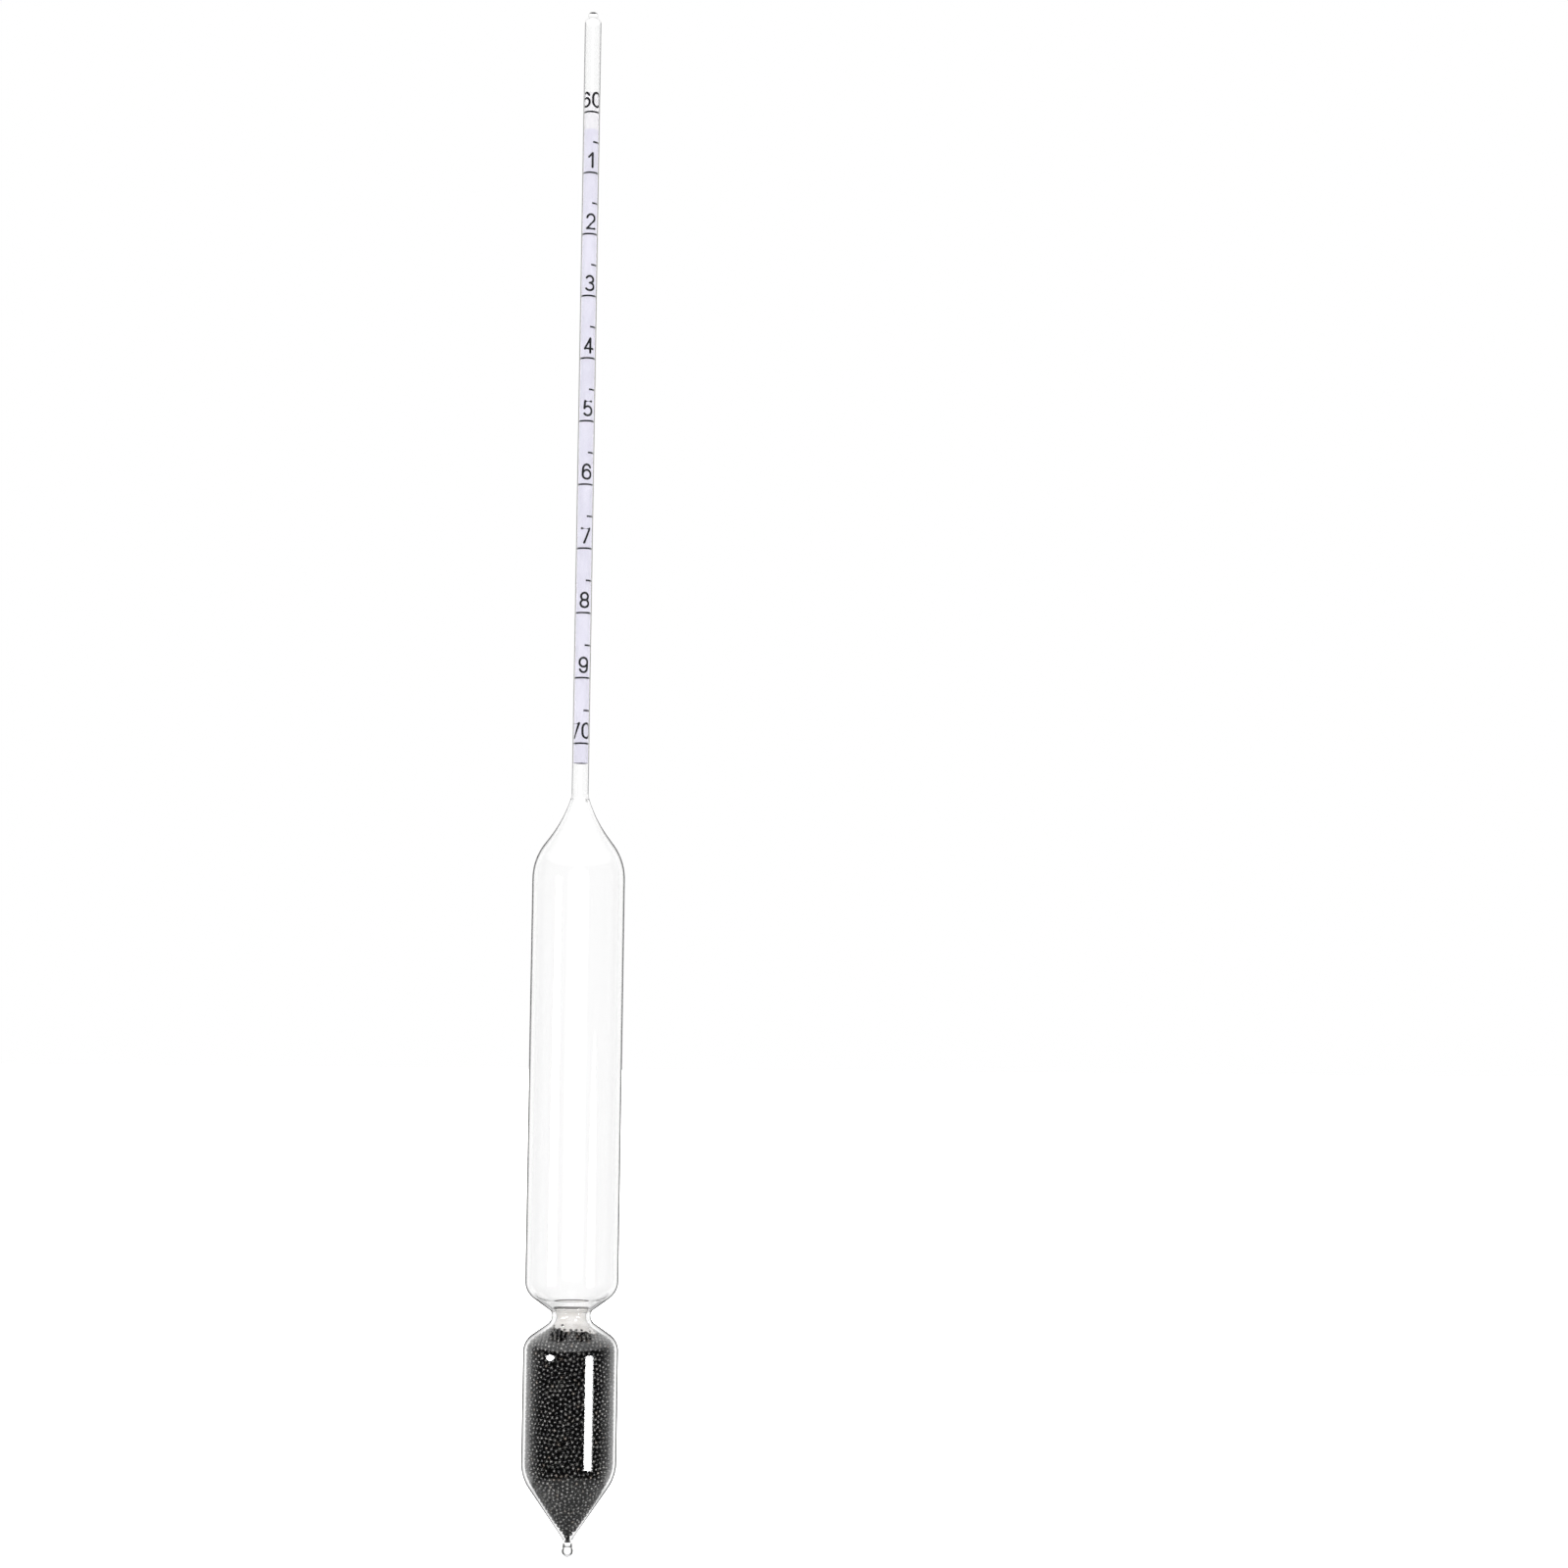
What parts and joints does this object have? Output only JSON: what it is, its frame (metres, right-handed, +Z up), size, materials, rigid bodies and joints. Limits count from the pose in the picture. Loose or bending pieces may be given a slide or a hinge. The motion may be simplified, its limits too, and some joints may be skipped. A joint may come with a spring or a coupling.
{
  "type": "hydrometer",
  "caption": "Sealed glass hydrometer: slim stem around a rolled paper scale, clear cylindrical float bulb, pinched neck and a shot-filled ballast bulb drawn to a small tail.",
  "frame": {"origin": "on the stem's axis, level with the middle graduation of the scale, where the liquid surface stands at mid-scale", "axes": "+Z up the stem to its tip, -Y towards the reader of the scale, +X to the reader's right"},
  "size_m": [0.0184, 0.0184, 0.3049],
  "materials": {
    "glass": "clear, fire-polished",
    "scale_paper": "matt, pale lavender",
    "printing_ink": "matt black print",
    "resin": "translucent, grey-beige, with small bubbles",
    "shot": "dark, oiled steel shot"
  },
  "bodies": {
    "root": {"stem_tip_seal": "glass", "stem_tube": "glass", "float_bulb": "glass", "ballast_bulb": "glass", "tail_bead": "glass", "scale_paper": "scale_paper", "degree_lines": "printing_ink", "half_degree_ticks": "printing_ink", "scale_numbers": "printing_ink", "resin_plug": "resin", "ballast_shot": "shot"}
  },
  "joints": []
}
